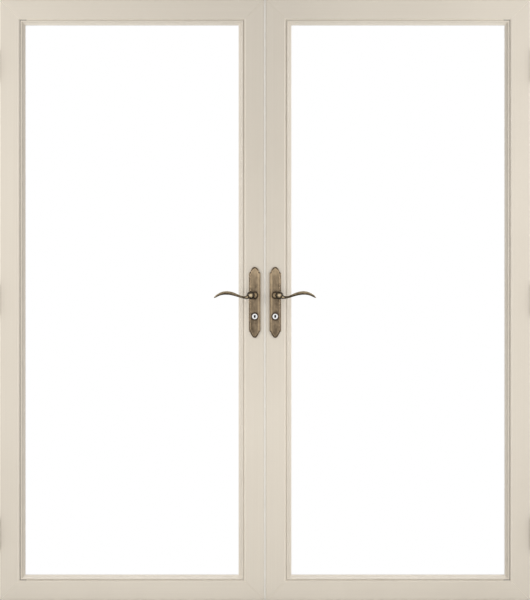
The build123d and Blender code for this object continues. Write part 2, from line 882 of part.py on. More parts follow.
def build_bolts():
    rack_reach = rack_teeth * pi * gear_module * 2 / 3
    upper_bar_z = leaf_top_z - bolt_length
    lower_bar_z = leaf_bottom_z + bolt_length
    upper = rack_bar(-1, 2 - rack_teeth, handle_z - rack_reach, upper_bar_z)
    upper += rod_along_z(bolt_radius, upper_rod_x, middle_y, upper_bar_z, leaf_top_z - bolt_withdrawn)
    lower = rack_bar(1, -2, lower_bar_z, handle_z + rack_reach)
    lower += rod_along_z(bolt_radius, lower_rod_x, middle_y, leaf_bottom_z + bolt_withdrawn, lower_bar_z)
    return {"upper_bolt": upper, "lower_bolt": lower}


def build_drive_gear():
    y0 = middle_y - gear_thickness / 2
    place = Plane(origin=(handle_x, y0, handle_z), x_dir=(1, 0, 0), z_dir=(0, 1, 0))
    gear = place * extrude(gear_section(), amount=gear_thickness)
    hub = (middle_y - case_depth / 2, middle_y + case_depth / 2)
    gear += rod_along_y(gear_hub_radius, handle_x, *hub, handle_z)
    half = spindle_side / 2 + socket_clearance
    return gear - block(handle_x - half, handle_x + half, front_y, back_y, handle_z - half, handle_z + half)


# The case is folded to the faceplate, which lies flush in the stile's edge
def build_lock_case():
    y0 = middle_y - case_depth / 2
    y1 = middle_y + case_depth / 2
    x0 = leaf_meeting_x - face_width + profile_wall + case_clearance
    x1 = leaf_meeting_x - profile_wall
    z0 = handle_z - case_below
    z1 = handle_z + case_above
    case = block(x0, x1, y0, y1, z0, z1)
    case -= block(
        x0 + case_wall, x1 - case_wall, y0 + case_wall, y1 - case_wall, z0 + case_wall, z1 - case_wall
    )
    case += block(
        x1,
        leaf_meeting_x,
        middle_y - faceplate_depth / 2,
        middle_y + faceplate_depth / 2,
        handle_z - faceplate_below,
        handle_z + faceplate_above,
    )
    screw_sizes = (profile_wall, faceplate_screw_radius, faceplate_screw_head_radius)
    for z in (-faceplate_below + faceplate_screw_inset, faceplate_above - faceplate_screw_inset):
        case -= countersunk((leaf_meeting_x, middle_y, handle_z + z), (-1, 0, 0), *screw_sizes)
    slot_x = rod_thickness / 2 + rod_slot_clearance
    slot_y = gear_thickness / 2 + rod_slot_clearance
    for rod_x, z in ((upper_rod_x, z1), (lower_rod_x, z0)):
        case -= block(
            rod_x - slot_x,
            rod_x + slot_x,
            middle_y - slot_y,
            middle_y + slot_y,
            z - case_wall - rod_slot_clearance,
            z + case_wall + rod_slot_clearance,
        )
    case -= rod_along_y(gear_hub_radius + running_clearance, handle_x, front_y, back_y, handle_z)
    return case - rod_along_y(cam_hub_radius + running_clearance, handle_x, front_y, back_y, key_z)


# Key cylinder in the front plate, a cam in the case and a thumb turn in the back plate
def build_cylinder():
    plate_y = front_y - plate_thickness
    collar_y = plate_y - collar_height
    inner_y = middle_y - case_depth / 2
    housing = rod_along_y(cylinder_radius, handle_x, plate_y, inner_y, key_z)
    collar = rod_along_y(collar_radius, handle_x, collar_y, plate_y, key_z)
    collar = fillet(collar.edges().filter_by(GeomType.CIRCLE).sort_by(Axis.Y)[0], collar_round)
    bore = rod_along_y(plug_radius + running_clearance, handle_x, collar_y - cut_overrun, back_y, key_z)
    return housing + collar - bore


def tail(y0, y1):
    half_x = tail_thickness / 2
    half_z = tail_width / 2
    return block(handle_x - half_x, handle_x + half_x, y0, y1, key_z - half_z, key_z + half_z)


def build_key_plug():
    face_y = front_y - plate_thickness - collar_height + plug_recess
    back = front_y + plug_back
    plug = rod_along_y(plug_radius, handle_x, face_y, back, key_z)
    plug = chamfer(plug.edges().filter_by(GeomType.CIRCLE).sort_by(Axis.Y)[0], plug_edge)
    half_x = keyway_width / 2
    half_z = keyway_height / 2
    reach = (face_y - cut_overrun, face_y + keyway_depth)
    slot = block(handle_x - half_x, handle_x + half_x, *reach, key_z - half_z, key_z + half_z)
    eye = rod_along_y(keyway_round_radius, handle_x, *reach, key_z + half_z - keyway_round_radius)
    return plug - slot - eye + tail(back, middle_y - tail_clearance)


def build_lock_cam():
    hub = rod_along_y(cam_hub_radius, handle_x, middle_y - case_depth / 2, middle_y + case_depth / 2, key_z)
    y0 = middle_y - cam_thickness / 2
    y1 = middle_y + cam_thickness / 2
    tip_z = key_z - cam_lobe_radius + cam_lobe_width / 2
    half = cam_lobe_width / 2
    lobe = block(handle_x - half, handle_x + half, y0, y1, tip_z, key_z)
    lobe += rod_along_y(half, handle_x, y0, y1, tip_z)
    half_x = tail_thickness / 2 + tail_clearance
    half_z = tail_width / 2 + tail_clearance
    slot = block(handle_x - half_x, handle_x + half_x, front_y, back_y, key_z - half_z, key_z + half_z)
    return hub + lobe - slot


def build_thumb_turn():
    plate_back = back_y + plate_thickness
    case_back = middle_y + case_depth / 2
    journal = rod_along_y(thumb_journal_radius, handle_x, back_y, plate_back + thumb_base, key_z)
    shaft = rod_along_y(thumb_shaft_radius, handle_x, case_back + running_clearance, back_y, key_z)
    place = Plane(origin=(handle_x, plate_back + thumb_base, key_z), x_dir=(1, 0, 0), z_dir=(0, 1, 0))
    wing = loft(
        [
            place * Pos(0, 0, out * thumb_out) * Ellipse(across * thumb_width / 2, along * thumb_length / 2)
            for out, across, along in thumb_station_shares
        ]
    )
    return journal + shaft + wing + tail(middle_y + tail_clearance, case_back + running_clearance)


# A long keep is screwed at its ends and a short one at its sides
def keep_screw_places(x, half_x, z):
    reach_x = half_x - keep_screw_inset
    reach_y = keep_width / 2 - keep_screw_inset
    if half_x > keep_width / 2:
        return [(x + side * reach_x, middle_y, z) for side in (-1, 1)]
    return [(x, middle_y + side * reach_y, z) for side in (-1, 1)]


# Keep plates let into the head and the sill, each with its hole for a bolt
def bolt_sockets():
    keeps = []
    pockets = []
    hole = bolt_radius + keep_hole_clearance
    outer_z = frame_wall + cut_overrun
    screw_sizes = (keep_thickness, keep_screw_radius, keep_screw_head_radius)
    sides = (middle_y - keep_width / 2, middle_y + keep_width / 2)
    spots = (
        (upper_rod_x, rebate_top_z, 1, head_keep_length / 2),
        (lower_rod_x, sill_height, -1, sill_keep_length / 2),
    )
    for x, face_z, way, half_x in spots:
        for sign in (1, -1):
            seat = sorted((face_z, face_z + way * keep_thickness))
            room = block(sign * x - half_x, sign * x + half_x, *sides, *seat)
            through = sorted((face_z - way * cut_overrun, face_z + way * outer_z))
            bore = rod_along_z(hole, sign * x, middle_y, *through)
            keep = room - bore
            for spot in keep_screw_places(sign * x, half_x, face_z):
                keep -= countersunk(spot, (0, 0, way), *screw_sizes)
            keeps.append(keep)
            pockets.append((way, room + bore))
    return keeps, pockets


def build_leaf():
    parts = build_leaf_members()
    parts.update(build_glazing())
    parts.update(build_plates())
    parts.update(build_bolts())
    parts["front_lever"] = build_lever()
    parts["back_lever"] = mirror(parts["front_lever"], about=leaf_mirror)
    parts["spindle"] = build_spindle()
    parts["drive_gear"] = build_drive_gear()
    parts["lock_case"] = build_lock_case()
    parts["key_cylinder"] = build_cylinder()
    parts["key_plug"] = build_key_plug()
    parts["lock_cam"] = build_lock_cam()
    parts["thumb_turn"] = build_thumb_turn()
    return parts


def to_right(shape):
    return mirror(shape, about=Plane.YZ)


def build_all():
    nodes = build_frame()
    nodes["sill"] = build_sill()
    keeps, pockets = bolt_sockets()
    for way, pocket in pockets:
        carrier = "head" if way > 0 else "sill"
        nodes[carrier] -= pocket
    nodes["bolt_keeps"] = solids_of(*keeps)
    nodes["frame_seals"] = build_frame_seals()
    frame_flaps, leaf_flaps, pins = build_hinges()
    nodes["frame_hinge_flaps"] = solids_of(*frame_flaps, *[to_right(flap) for flap in frame_flaps])
    nodes["hinge_pins"] = solids_of(*pins, *[to_right(pin) for pin in pins])
    leaf = build_leaf()
    leaf["hinge_flaps"] = solids_of(*leaf_flaps)
    sweep = build_sweep()
    for name, shape in leaf.items():
        nodes["left_" + name] = shape
        nodes["right_" + name] = to_right(shape)
    nodes["left_leaf_seals"] = sweep
    nodes["right_leaf_seals"] = solids_of(to_right(sweep), build_meeting_seal())
    return nodes


os.makedirs("parts", exist_ok=True)
for node, shape in build_all().items():
    export_step(shape, f"parts/{node}.step")
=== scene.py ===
import math

import bmesh
import bpy
from mathutils import Matrix, Vector


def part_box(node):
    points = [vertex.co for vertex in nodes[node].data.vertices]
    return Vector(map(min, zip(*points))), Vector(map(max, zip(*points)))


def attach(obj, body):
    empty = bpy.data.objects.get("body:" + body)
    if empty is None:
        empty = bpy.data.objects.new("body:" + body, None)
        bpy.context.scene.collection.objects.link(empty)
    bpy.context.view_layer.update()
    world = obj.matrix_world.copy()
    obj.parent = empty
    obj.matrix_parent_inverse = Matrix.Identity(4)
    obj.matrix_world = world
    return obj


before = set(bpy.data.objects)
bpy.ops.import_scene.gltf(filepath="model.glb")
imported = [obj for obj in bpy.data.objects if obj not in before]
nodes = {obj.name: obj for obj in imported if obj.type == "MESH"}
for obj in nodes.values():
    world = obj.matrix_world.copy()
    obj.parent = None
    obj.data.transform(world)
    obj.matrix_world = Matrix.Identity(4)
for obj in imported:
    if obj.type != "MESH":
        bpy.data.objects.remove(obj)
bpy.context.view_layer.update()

leafSides = ("left", "right")


def addNode(tree, kind, place, **settings):
    node = tree.nodes.new(kind)
    node.location = place
    for key, value in settings.items():
        setattr(node, key, value)
    return node


def feed(tree, target, source):  # a socket is linked, a plain value is set
    if hasattr(source, "is_linked"):
        tree.links.new(source, target)
    else:
        target.default_value = source


def addMath(tree, operation, place, first, second=0.0, clamp=False):
    node = addNode(tree, "ShaderNodeMath", place, operation=operation, use_clamp=clamp)
    feed(tree, node.inputs[0], first)
    feed(tree, node.inputs[1], second)
    return node.outputs[0]


def addVector(tree, operation, place, first, second=(0.0, 0.0, 0.0)):
    node = addNode(tree, "ShaderNodeVectorMath", place, operation=operation)
    feed(tree, node.inputs[0], first)
    feed(tree, node.inputs[1], second)
    return node.outputs["Value" if operation in ("LENGTH", "DOT_PRODUCT") else "Vector"]


def addRange(tree, place, value, fromLow, fromHigh, toLow, toHigh):
    node = addNode(tree, "ShaderNodeMapRange", place, clamp=True)
    feed(tree, node.inputs["Value"], value)
    ends = {"From Min": fromLow, "From Max": fromHigh, "To Min": toLow, "To Max": toHigh}
    for label, number in ends.items():
        feed(tree, node.inputs[label], number)
    return node.outputs["Result"]


def addMix(tree, place, factor, first, second):
    node = addNode(tree, "ShaderNodeMix", place, data_type="RGBA")
    feed(tree, node.inputs[0], factor)
    feed(tree, node.inputs[6], first)
    feed(tree, node.inputs[7], second)
    return node.outputs[2]


def addNoise(tree, place, vector, scale, detail):
    node = addNode(tree, "ShaderNodeTexNoise", place)
    feed(tree, node.inputs["Vector"], vector)
    node.inputs["Scale"].default_value = scale
    node.inputs["Detail"].default_value = detail
    return node.outputs["Fac"]


def objectCoords(tree, place):
    return addNode(tree, "ShaderNodeTexCoord", place).outputs["Object"]


def placeAndTurn(tree):  # position and normal in the piece's own frame, by axis
    coords = addNode(tree, "ShaderNodeTexCoord", (-2300, 300))
    place = addNode(tree, "ShaderNodeSeparateXYZ", (-2100, 400))
    turn = addNode(tree, "ShaderNodeSeparateXYZ", (-2100, 200))
    tree.links.new(coords.outputs["Object"], place.inputs[0])
    tree.links.new(coords.outputs["Normal"], turn.inputs[0])
    return place.outputs, turn.outputs


def newGroup(name, inputs, outputs):
    group = bpy.data.node_groups.new(name, "ShaderNodeTree")
    for label, kind, value in inputs:
        socket = group.interface.new_socket(name=label, in_out="INPUT", socket_type=kind)
        socket.default_value = value
    for label, kind in outputs:
        group.interface.new_socket(name=label, in_out="OUTPUT", socket_type=kind)
    ins = addNode(group, "NodeGroupInput", (-900, 0))
    outs = addNode(group, "NodeGroupOutput", (700, 0))
    return group, ins.outputs, outs.inputs


def newMaterial(name):
    mat = bpy.data.materials.new(name)
    mat.use_nodes = True
    return mat, mat.node_tree, mat.node_tree.nodes["Principled BSDF"]


def placeGroup(tree, group, values):
    placed = addNode(tree, "ShaderNodeGroup", (-500, 100), node_tree=group)
    for label, value in values.items():
        placed.inputs[label].default_value = value
    return placed


def addBump(tree, skin, height, strength, distance):
    bump = addNode(tree, "ShaderNodeBump", (-220, -300))
    bump.inputs["Strength"].default_value = strength
    bump.inputs["Distance"].default_value = distance
    tree.links.new(height, bump.inputs["Height"])
    tree.links.new(bump.outputs["Normal"], skin.inputs["Normal"])


def mixShaders(tree, factor, first, second):
    mixed = addNode(tree, "ShaderNodeMixShader", (500, 200))
    for slot, source in enumerate((factor, first, second)):
        tree.links.new(source, mixed.inputs[slot])
    tree.links.new(mixed.outputs[0], tree.nodes["Material Output"].inputs["Surface"])


def rgba(colour):
    return (*colour, 1.0)


def dress(material, *names):
    for name in names:
        slots = nodes[name].data.materials
        for index in range(len(slots)):
            slots[index] = material


def onBothLeaves(*names):
    return [side + "_" + name for side in leafSides for name in names]


skinOutputs = [("Color", "NodeSocketColor"), ("Roughness", "NodeSocketFloat"), ("Height", "NodeSocketFloat")]
skinTones = {  # draw lines along the length, slow clouds and a fine grain
    "clouds": 2.4,
    "grain": 900.0,
    "lineShare": 0.4,
    "toneBand": (0.36, 0.64),
    "roughBand": (0.7, 1.3),
    "roughness": (0.30, 0.43),
    "depth": 0.0003,
}


def makeExtrudedSkin():
    inputs = [
        ("Tint", "NodeSocketColor", (0.7, 0.7, 0.7, 1.0)),
        ("Shade", "NodeSocketColor", (0.6, 0.6, 0.6, 1.0)),
        ("Stretch", "NodeSocketVector", (1.0, 1.0, 1.0)),
    ]
    group, ins, outs = newGroup("extrudedSkin", inputs, skinOutputs)
    coords = objectCoords(group, (-900, -250))
    drawn = addVector(group, "MULTIPLY", (-700, 200), coords, ins["Stretch"])
    lines = addNoise(group, (-500, 200), drawn, 1.0, 3.0)
    clouds = addNoise(group, (-500, -50), coords, skinTones["clouds"], 2.0)
    grain = addNoise(group, (-500, -300), coords, skinTones["grain"], 1.0)
    lineTone = addMath(group, "MULTIPLY", (-300, 200), lines, skinTones["lineShare"])
    cloudTone = addMath(group, "MULTIPLY", (-300, 0), clouds, 1.0 - skinTones["lineShare"])
    both = addMath(group, "ADD", (-120, 100), lineTone, cloudTone)
    tone = addRange(group, (50, 100), both, *skinTones["toneBand"], 0.0, 1.0)
    fine = addMath(group, "ADD", (-120, -150), lines, grain)
    rough = addRange(group, (300, 0), fine, *skinTones["roughBand"], *skinTones["roughness"])
    group.links.new(addMix(group, (300, 200), tone, ins["Tint"], ins["Shade"]), outs["Color"])
    group.links.new(rough, outs["Roughness"])
    group.links.new(fine, outs["Height"])
    return group


extrudedSkin = makeExtrudedSkin()

almond = {
    "tint": (0.735, 0.668, 0.568),
    "shade": (0.700, 0.632, 0.534),
    # painted highlight tone, for the edges and the lightened groove
    "edge": (0.940, 0.875, 0.770),
    # painted shade tone for the groove beside the outer beads
    "hollow": (0.300, 0.280, 0.250),
    "upright": (420.0, 420.0, 2.0),
    "rail": (2.0, 420.0, 420.0),
    "bead": (8.0, 8.0, 8.0),
    "bump": 0.06,
}
almondPaintedLight = {  # painted light per member: how far the edges get a painted highlight, the bead groove is painted lighter against its shade, and the groove by the outer beads gets painted shade
    "hinge": {"edge": 1.0, "ledge": 0.0, "groove": 1.0, "hollow": 0.0},
    "meeting": {"edge": 0.2, "ledge": 0.0, "groove": 1.0, "hollow": 0.0},
    "rail": {"edge": 0.0, "ledge": 0.2, "groove": 1.0, "hollow": 0.0},
    "bead": {"edge": 0.0, "ledge": 0.35, "groove": 0.9, "hollow": 1.0},
}
paintedLightBands = {  # where each mask starts and ends, and its value at both
    "turned": (0.960, 0.998, 1.0, 0.0),
    "sideways": (0.20, 0.50, 0.0, 1.0),
    "level": (0.80, 0.92, 0.0, 1.0),
    "lying": (0.2, 0.5, 0.0, 1.0),
    "below": (-0.0550, -0.0540, 0.0, 1.0),
    "above": (-0.0460, -0.0440, 1.0, 0.0),
    "outer": (0.766, 0.770, 0.0, 1.0),
}


# masks for the painted highlight on edges, the painted-lighter groove and the painted shade by the outer
# beads
def paintedLightMasks(tree):
    place, turn = placeAndTurn(tree)
    facing = addMath(tree, "ABSOLUTE", (-1900, 500), turn["Y"])
    flat = addMath(tree, "ABSOLUTE", (-1900, 700), turn["Z"])
    across = addMath(tree, "ABSOLUTE", (-1900, 100), place["X"])
    readings = {
        "turned": facing,
        "sideways": facing,
        "level": facing,
        "lying": flat,
        "below": place["Y"],
        "above": place["Y"],
        "outer": across,
    }
    masks = {}
    for row, (label, reading) in enumerate(readings.items()):
        masks[label] = addRange(tree, (-1600, 900 - 160 * row), reading, *paintedLightBands[label])
    edge = addMath(tree, "MULTIPLY", (-1300, 800), masks["turned"], masks["sideways"])
    ledge = addMath(tree, "MULTIPLY", (-1100, 800), edge, masks["lying"])
    inGap = addMath(tree, "MULTIPLY", (-1300, 400), masks["level"], masks["below"])
    groove = addMath(tree, "MULTIPLY", (-1100, 400), inGap, masks["above"])
    # painted shade only by the beads of the outer stiles
    hollow = addMath(tree, "MULTIPLY", (-900, 200), groove, masks["outer"])
    return {"edge": edge, "ledge": ledge, "groove": groove, "hollow": hollow}


def makeAlmond(name, stretch, paintedKind):
    mat, tree, skin = newMaterial(name)
    values = {"Tint": rgba(almond["tint"]), "Shade": rgba(almond["shade"]), "Stretch": almond[stretch]}
    placed = placeGroup(tree, extrudedSkin, values)
    # painted highlight on edges, groove painted lighter against its shade, then painted shade by the outer
    # beads
    paintedShares = {}
    for label, mask in paintedLightMasks(tree).items():
        paintedShares[label] = addMath(tree, "MULTIPLY", (-700, 500), mask, almondPaintedLight[paintedKind][label])
    brightening = addMath(tree, "ADD", (-540, 550), paintedShares["edge"], paintedShares["ledge"])
    lighter = addMath(tree, "MAXIMUM", (-480, 400), brightening, paintedShares["groove"])
    beforeShade = addMix(tree, (-350, 300), lighter, placed.outputs["Color"], rgba(almond["edge"]))
    shaded = addMix(tree, (-150, 300), paintedShares["hollow"], beforeShade, rgba(almond["hollow"]))
    tree.links.new(shaded, skin.inputs["Base Color"])
    tree.links.new(placed.outputs["Roughness"], skin.inputs["Roughness"])
    addBump(tree, skin, placed.outputs["Height"], almond["bump"], skinTones["depth"])
    return mat


# one vinyl in four copies that differ only in painted highlight and painted shade amounts
almondHinge = makeAlmond("almondHinge", "upright", "hinge")
almondMeeting = makeAlmond("almondMeeting", "upright", "meeting")
almondRail = makeAlmond("almondRail", "rail", "rail")
almondBead = makeAlmond("almondBead", "bead", "bead")
dress(almondHinge, "left_jamb", "right_jamb", *onBothLeaves("hinge_stile"))
dress(almondMeeting, *onBothLeaves("meeting_stile"))
dress(almondRail, "head", *onBothLeaves("top_rail", "bottom_rail"))
dress(almondBead, *onBothLeaves("glazing_beads"))
print("vinyl dressed")

metals = {  # the drawn metals that are not brass
    "sillMetal": {
        "tint": (0.60, 0.59, 0.57),
        "shade": (0.50, 0.49, 0.475),
        "stretch": (2.0, 500.0, 500.0),
        "bump": 0.10,
    },
    "spacerMetal": {
        "tint": (0.58, 0.58, 0.58),
        "shade": (0.50, 0.50, 0.50),
        "stretch": (90.0, 90.0, 90.0),
        "bump": 0.04,
    },
    "platedSteel": {
        "tint": (0.58, 0.57, 0.54),
        "shade": (0.45, 0.44, 0.42),
        "stretch": (300.0, 300.0, 20.0),
        "bump": 0.12,
    },
}
lockNodes = ("lock_case", "upper_bolt", "lower_bolt", "drive_gear", "spindle", "lock_cam")


def makeDrawnMetal(name):
    plan = metals[name]
    mat, tree, skin = newMaterial(name)
    values = {"Tint": rgba(plan["tint"]), "Shade": rgba(plan["shade"]), "Stretch": plan["stretch"]}
    placed = placeGroup(tree, extrudedSkin, values)
    skin.inputs["Metallic"].default_value = 1.0
    tree.links.new(placed.outputs["Color"], skin.inputs["Base Color"])
    tree.links.new(placed.outputs["Roughness"], skin.inputs["Roughness"])
    addBump(tree, skin, placed.outputs["Height"], plan["bump"], skinTones["depth"])
    return mat


platedSteel = makeDrawnMetal("platedSteel")
dress(makeDrawnMetal("sillMetal"), "sill")
dress(makeDrawnMetal("spacerMetal"), *onBothLeaves("spacer"))
dress(platedSteel, "bolt_keeps", *onBothLeaves(*lockNodes))
print("drawn metals dressed")

softSkins = {  # rubber and moulded plastic
    "paleSeal": {"tint": (0.74, 0.70, 0.63), "shade": (0.68, 0.64, 0.58)},
    "glazingRubber": {"tint": (0.34, 0.33, 0.30), "shade": (0.27, 0.26, 0.24)},
    "blockPlastic": {"tint": (0.030, 0.030, 0.032), "shade": (0.020, 0.020, 0.022)},
}
softSpeckle = {
    "fine": 1400.0,
    "wide": 45.0,
    "toneBand": (0.75, 1.25),
    "fineBand": (0.3, 0.7),
    "roughness": (0.58, 0.78),
    "bump": 0.15,
    "depth": 0.0002,
}


def makeSoftSkin(name):
    plan = softSkins[name]
    mat, tree, skin = newMaterial(name)
    coords = objectCoords(tree, (-1100, 0))
    fine = addNoise(tree, (-850, 150), coords, softSpeckle["fine"], 2.0)
    wide = addNoise(tree, (-850, -100), coords, softSpeckle["wide"], 2.0)
    both = addMath(tree, "ADD", (-650, 100), fine, wide)
    tone = addRange(tree, (-450, 150), both, *softSpeckle["toneBand"], 0.0, 1.0)
    rough = addRange(tree, (-450, -100), fine, *softSpeckle["fineBand"], *softSpeckle["roughness"])
    colour = addMix(tree, (-250, 200), tone, rgba(plan["tint"]), rgba(plan["shade"]))
    tree.links.new(colour, skin.inputs["Base Color"])
    tree.links.new(rough, skin.inputs["Roughness"])
    addBump(tree, skin, fine, softSpeckle["bump"], softSpeckle["depth"])
    return mat


paleSeal = makeSoftSkin("paleSeal")
dress(paleSeal, "frame_seals", *onBothLeaves("leaf_seals"))
dress(makeSoftSkin("glazingRubber"), *onBothLeaves("glazing_gaskets"))
dress(makeSoftSkin("blockPlastic"), *onBothLeaves("setting_blocks"))
print("seals dressed")

glassPlan = {"tint": (1.0, 1.0, 1.0), "index": 1.5, "wave": 3.0, "waveBand": (0.3, 0.7), "haze": (0.0, 0.012)}


def makeGlass():
    mat, tree, skin = newMaterial("clearGlass")
    skin.inputs["Transmission Weight"].default_value = 1.0
    skin.inputs["IOR"].default_value = glassPlan["index"]
    skin.inputs["Base Color"].default_value = rgba(glassPlan["tint"])
    wave = addNoise(tree, (-850, 0), objectCoords(tree, (-1100, 0)), glassPlan["wave"], 1.0)
    haze = addRange(tree, (-500, 0), wave, *glassPlan["waveBand"], *glassPlan["haze"])
    tree.links.new(haze, skin.inputs["Roughness"])
    passing = addNode(tree, "ShaderNodeBsdfTransparent", (100, -300))
    path = addNode(tree, "ShaderNodeLightPath", (100, 500))
    mixShaders(tree, path.outputs["Is Shadow Ray"], skin.outputs[0], passing.outputs[0])
    return mat


dress(makeGlass(), *onBothLeaves("front_pane", "back_pane"))
print("glass dressed")

brassTones = {  # antique brass: patina in streaks and blotches over the lightening share, which is painted light on the plates and levers and patchy wear on the hinges and collar
    "blotch": 70.0,
    "noiseBand": (0.25, 0.75),
    "streakReach": (-0.275, 0.275),
    "blotchReach": (-0.175, 0.175),
    "roughness": (0.52, 0.26),
}


def makeAgedBrass():
    inputs = [
        ("Bright", "NodeSocketColor", (0.6, 0.5, 0.3, 1.0)),
        ("Dark", "NodeSocketColor", (0.1, 0.1, 0.1, 1.0)),
        ("SheenAndWear", "NodeSocketFloat", 0.5),
        ("Stretch", "NodeSocketVector", (1.0, 1.0, 1.0)),
    ]
    group, ins, outs = newGroup("agedBrass", inputs, skinOutputs)
    coords = objectCoords(group, (-900, -250))
    drawn = addVector(group, "MULTIPLY", (-700, 200), coords, ins["Stretch"])
    streaks = addNoise(group, (-500, 200), drawn, 1.0, 4.0)
    blotch = addNoise(group, (-500, -50), coords, brassTones["blotch"], 3.0)
    band = brassTones["noiseBand"]
    streakTone = addRange(group, (-300, 200), streaks, *band, *brassTones["streakReach"])
    blotchTone = addRange(group, (-300, -50), blotch, *band, *brassTones["blotchReach"])
    patina = addMath(group, "ADD", (-100, 100), streakTone, blotchTone)
    mask = addMath(group, "ADD", (100, 100), patina, ins["SheenAndWear"], True)
    rough = addRange(group, (300, 0), mask, 0.0, 1.0, *brassTones["roughness"])
    group.links.new(addMix(group, (300, 200), mask, ins["Dark"], ins["Bright"]), outs["Color"])
    group.links.new(rough, outs["Roughness"])
    group.links.new(streaks, outs["Height"])
    return group


agedBrass = makeAgedBrass()

brass = {  # tones, brushing, and how much edges gain and sheltered places lose
    "plate": {
        "bright": (0.62, 0.47, 0.30),
        "dark": (0.085, 0.062, 0.042),
        "stretch": (1500.0, 1500.0, 45.0),
        "bump": 0.12,
        "edge": 0.9,
        "radius": 0.0022,
        "shelter": 0.75,
    },
    "lever": {
        "bright": (0.66, 0.52, 0.33),
        "dark": (0.045, 0.034, 0.024),
        "stretch": (150.0, 500.0, 500.0),
        "bump": 0.05,
        "edge": 0.2,
        "radius": 0.0012,
        "shelter": 0.10,
    },
    "hinge": {
        "bright": (0.50, 0.39, 0.25),
        "dark": (0.085, 0.062, 0.042),
        "stretch": (700.0, 700.0, 60.0),
        "bump": 0.10,
        "edge": 0.55,
        "radius": 0.0012,
        "shelter": 0.75,
    },
    "collar": {
        "bright": (0.16, 0.11, 0.075),
        "dark": (0.035, 0.022, 0.016),
        "stretch": (300.0, 300.0, 300.0),
        "bump": 0.05,
        "edge": 0.3,
        "radius": 0.0008,
        "shelter": 0.75,
    },
}
brassWear = {"edgeBand": (0.999, 0.965, 0.0, 1.0), "reach": 0.007, "shelterBand": (0.35, 0.95, 1.0, 0.0)}


def edgeMask(tree, radius):
    rounded = addNode(tree, "ShaderNodeBevel", (-1500, -200), samples=4)
    rounded.inputs["Radius"].default_value = radius
    real = addNode(tree, "ShaderNodeNewGeometry", (-1500, -400))
    turned = addVector(tree, "DOT_PRODUCT", (-1300, -250), rounded.outputs[0], real.outputs["Normal"])
    return addRange(tree, (-1100, -250), turned, *brassWear["edgeBand"])


def shelterMask(tree):
    sky = addNode(tree, "ShaderNodeAmbientOcclusion", (-1500, -650), samples=8)
    sky.inputs["Distance"].default_value = brassWear["reach"]
    return addRange(tree, (-1100, -650), sky.outputs["AO"], *brassWear["shelterBand"])


# the lightening mask is painted highlight and shade for plates and levers, and patchy wear for hinges and
# collar
def makeBrass(name, kind, brightening):
    plan = brass[kind]
    mat, tree, skin = newMaterial(name)
    values = {"Bright": rgba(plan["bright"]), "Dark": rgba(plan["dark"]), "Stretch": plan["stretch"]}
    placed = placeGroup(tree, agedBrass, values)
    skin.inputs["Metallic"].default_value = 1.0
    edges = addMath(tree, "MULTIPLY", (-900, -250), edgeMask(tree, plan["radius"]), plan["edge"])
    hollows = addMath(tree, "MULTIPLY", (-900, -650), shelterMask(tree), plan["shelter"])
    proud = addMath(tree, "ADD", (-800, 0), brightening(tree), edges)
    tree.links.new(addMath(tree, "SUBTRACT", (-650, 0), proud, hollows), placed.inputs["SheenAndWear"])
    tree.links.new(placed.outputs["Color"], skin.inputs["Base Color"])
    tree.links.new(placed.outputs["Roughness"], skin.inputs["Roughness"])
    addBump(tree, skin, placed.outputs["Height"], plan["bump"], skinTones["depth"])
    return mat


platePaintedFade = {  # painted light share along the plate: lighter towards the top, a painted highlight at its crown, and bands along its two long edges, lighter by the meeting edge and darker by the glass side
    "length": (0.876, 1.106, 0.22, 0.41),
    "crown": (1.064, 1.084, 0.0, 0.16),
    "meeting": (0.0250, 0.0230, 0.0, 0.22),
    "glass": (0.0430, 0.0450, 0.0, -0.12),
}
# painted shade on the bevel slopes, by which way they face, most on the ends
plateRimShade = {"band": (0.08, 0.48), "ends": 0.75, "inner": 0.15, "outer": 0.25}


def platePaintedLight(tree):
    place, turn = placeAndTurn(tree)
    across = addMath(tree, "ABSOLUTE", (-2000, 600), place["X"])
    base = addRange(tree, (-1900, 500), place["Z"], *platePaintedFade["length"])
    for axis, side in ((place["Z"], "crown"), (across, "meeting"), (across, "glass")):
        more = addRange(tree, (-1900, 700), axis, *platePaintedFade[side])
        base = addMath(tree, "ADD", (-1700, 500), base, more)
    side = addMath(tree, "SIGN", (-2000, 400), place["X"])
    outward = addMath(tree, "MULTIPLY", (-1900, 300), turn["X"], side)
    inward = addMath(tree, "MULTIPLY", (-1900, 200), outward, -1.0)
    upright = addMath(tree, "ABSOLUTE", (-1900, 100), turn["Z"])
    for facing, label in ((outward, "outer"), (inward, "inner"), (upright, "ends")):
        rim = addRange(tree, (-1700, 200), facing, *plateRimShade["band"], 0.0, plateRimShade[label])
        base = addMath(tree, "SUBTRACT", (-1500, 300), base, rim)
    return base


# painted light on the lever: the arm's upper side lighter, the ball lighter where it faces front and back,
# and a painted highlight on the hub
leverLightPlan = {
    "arm": (-0.5, 0.9, 0.0, 0.6),
    "neck": (0.068, 0.115, 0.10, 1.00),
    "ball": (0.78, 0.99, -0.10, 0.95),
    "hub": (0.0045, 0.0100, 1.05, -0.10),
    "hubAxis": (-0.033, 0.0, -1.013),
    "ballReach": (0.056, 0.066),
    "hubReach": (0.066, 0.072),
    "leafMiddle": 0.030,
}


